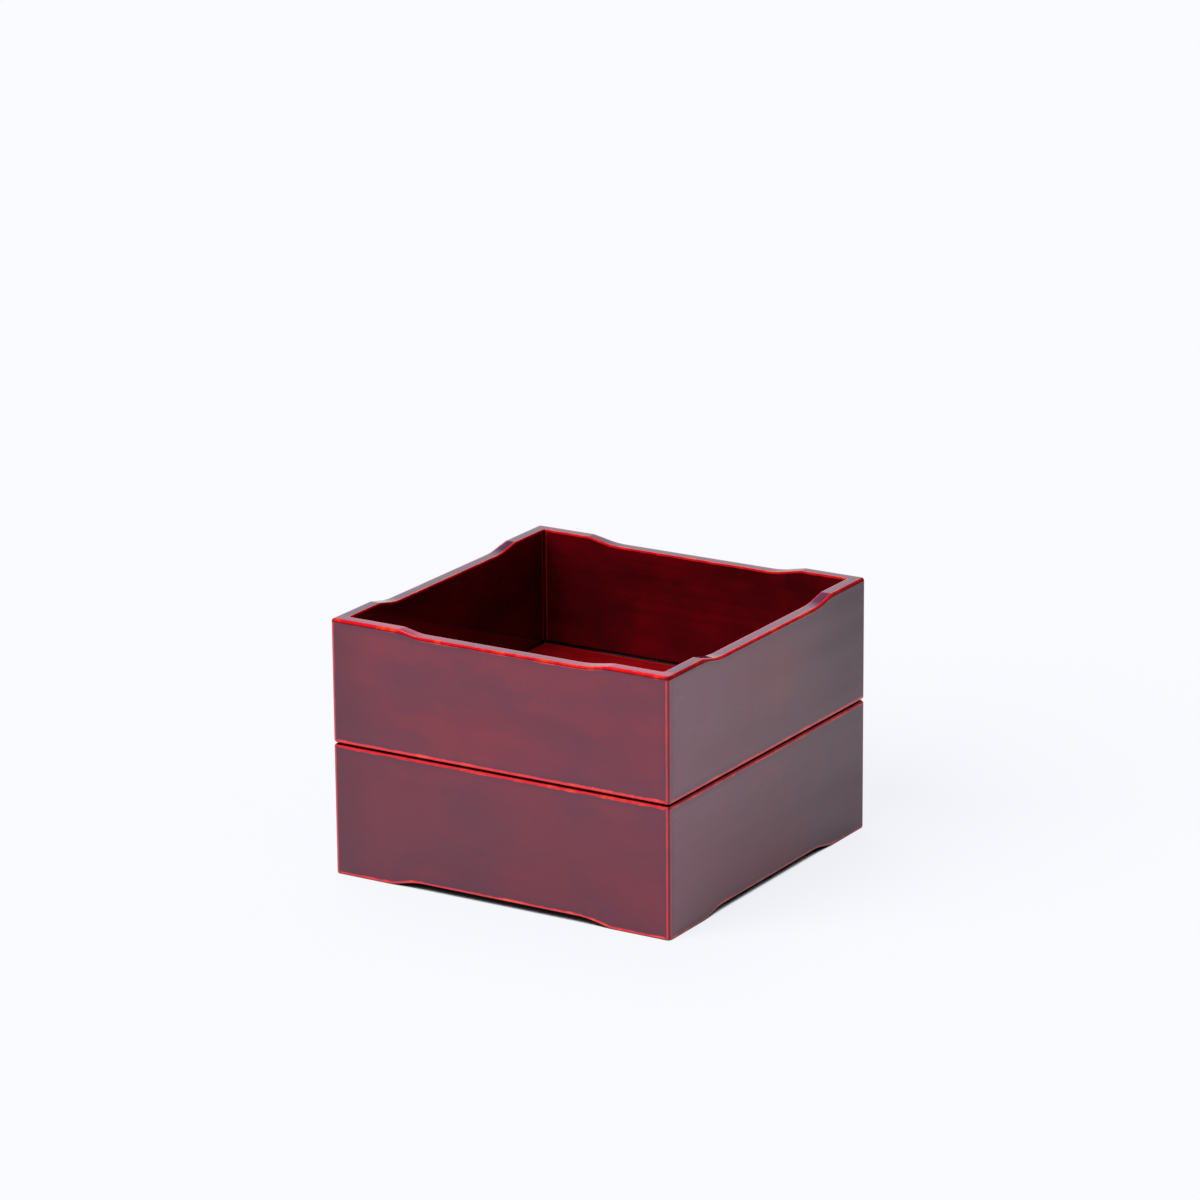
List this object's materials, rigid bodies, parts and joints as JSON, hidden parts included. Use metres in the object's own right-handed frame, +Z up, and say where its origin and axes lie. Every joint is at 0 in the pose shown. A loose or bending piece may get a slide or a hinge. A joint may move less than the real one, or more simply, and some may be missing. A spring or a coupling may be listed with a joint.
{
  "type": "stacking box",
  "caption": "Square stacking lacquer box: open tiers of mitred boards, a scooped upper rim, low arches between corner feet, and an upper tier that lifts off.",
  "frame": {"origin": "centre of the base, on the surface that the feet stand on", "axes": "+Z up along the box's upright centre line, +Y towards the back wall, +X towards the right wall"},
  "size_m": [0.18, 0.18, 0.1235],
  "materials": {
    "wall_lacquer": "translucent red-brown lacquer on wood, soft gloss, red at the worn-thin arrises",
    "floor_lacquer": "deep red lacquer on wood, high gloss",
    "tongue_wood": "bare planed cypress, glued in"
  },
  "bodies": {
    "lower_tier": {"lower_front_wall": "wall_lacquer", "lower_right_wall": "wall_lacquer", "lower_back_wall": "wall_lacquer", "lower_left_wall": "wall_lacquer", "lower_floor": "floor_lacquer", "lower_front_left_tongue": "tongue_wood", "lower_front_right_tongue": "tongue_wood", "lower_back_right_tongue": "tongue_wood", "lower_back_left_tongue": "tongue_wood"},
    "upper_tier": {"upper_front_wall": "wall_lacquer", "upper_right_wall": "wall_lacquer", "upper_back_wall": "wall_lacquer", "upper_left_wall": "wall_lacquer", "upper_floor": "floor_lacquer", "upper_front_left_tongue": "tongue_wood", "upper_front_right_tongue": "tongue_wood", "upper_back_right_tongue": "tongue_wood", "upper_back_left_tongue": "tongue_wood"}
  },
  "joints": [
    {"name": "upper_tier_lift", "type": "slide", "parent": "lower_tier", "child": "upper_tier", "axis": [0, 0, 1], "range_m": [0, 0.08]}
  ]
}
